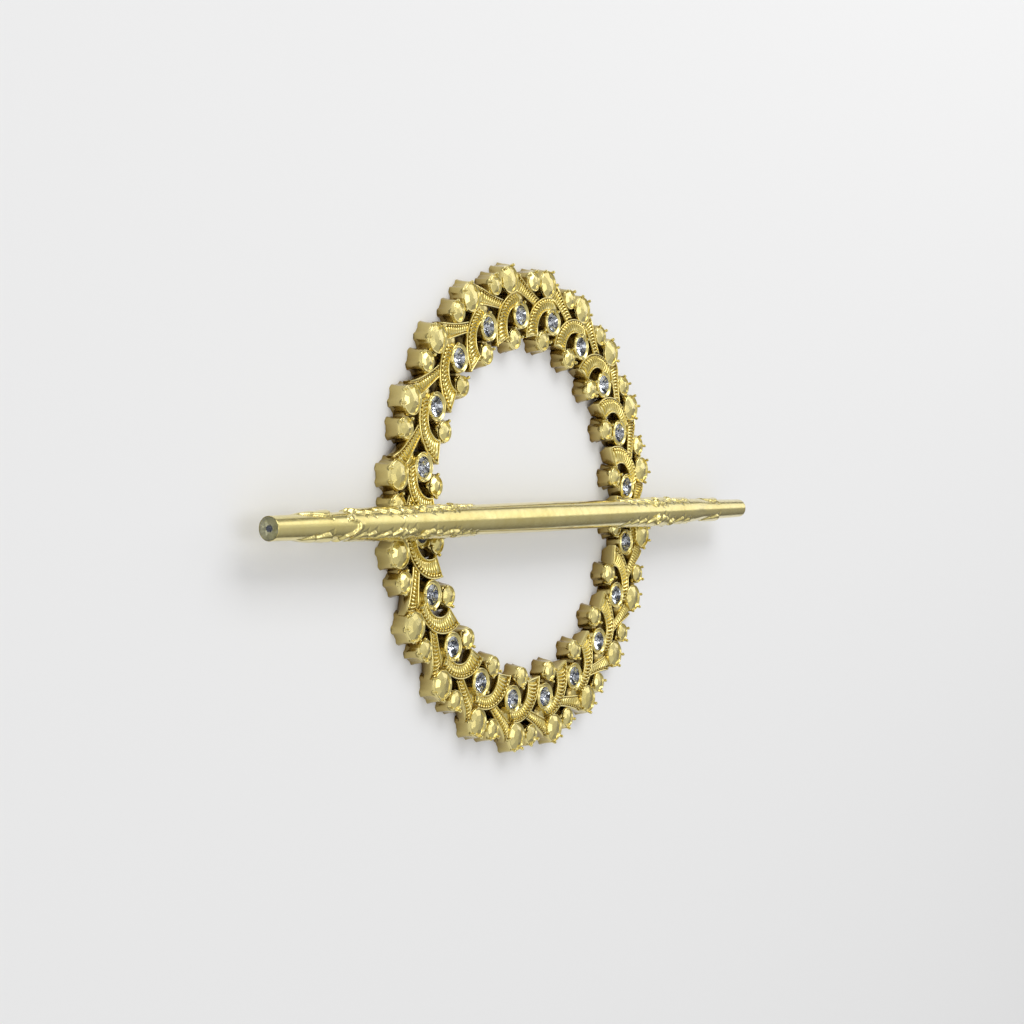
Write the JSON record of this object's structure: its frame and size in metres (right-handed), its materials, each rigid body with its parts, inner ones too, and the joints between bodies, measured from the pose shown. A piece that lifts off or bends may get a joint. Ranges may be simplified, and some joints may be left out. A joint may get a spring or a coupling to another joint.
{
  "type": "curtain holdback",
  "caption": "Openwork ornamental ring set with faceted stones, with a tapered rod that lies across its front and pins gathered curtain cloth in the ring.",
  "frame": {"origin": "centre of the ring, in the plane of its flat back, which is the plane the holdback lies on", "axes": "+Z is the ring's axis, out of its decorated front; +X runs almost along the rod, which is turned by 2.05 degrees about +Z; +Y is up on the ring when it hangs on a curtain"},
  "size_m": [0.2456, 0.1388, 0.0137],
  "materials": {
    "gold": "bright gold plating on moulded plastic",
    "stone": "cut and polished, silver-foiled at the back"
  },
  "bodies": {
    "root": {"ring": "gold", "rod": "gold", "ring_stone_01": "stone", "ring_stone_02": "stone", "ring_stone_03": "stone", "ring_stone_04": "stone", "ring_stone_05": "stone", "ring_stone_06": "stone", "ring_stone_07": "stone", "ring_stone_08": "stone", "ring_stone_09": "stone", "ring_stone_10": "stone", "ring_stone_11": "stone", "ring_stone_12": "stone", "ring_stone_13": "stone", "ring_stone_14": "stone", "ring_stone_15": "stone", "ring_stone_16": "stone", "ring_stone_17": "stone", "ring_stone_18": "stone", "ring_stone_19": "stone", "ring_stone_20": "stone", "rod_stone_left": "stone", "rod_stone_right": "stone"}
  },
  "joints": []
}
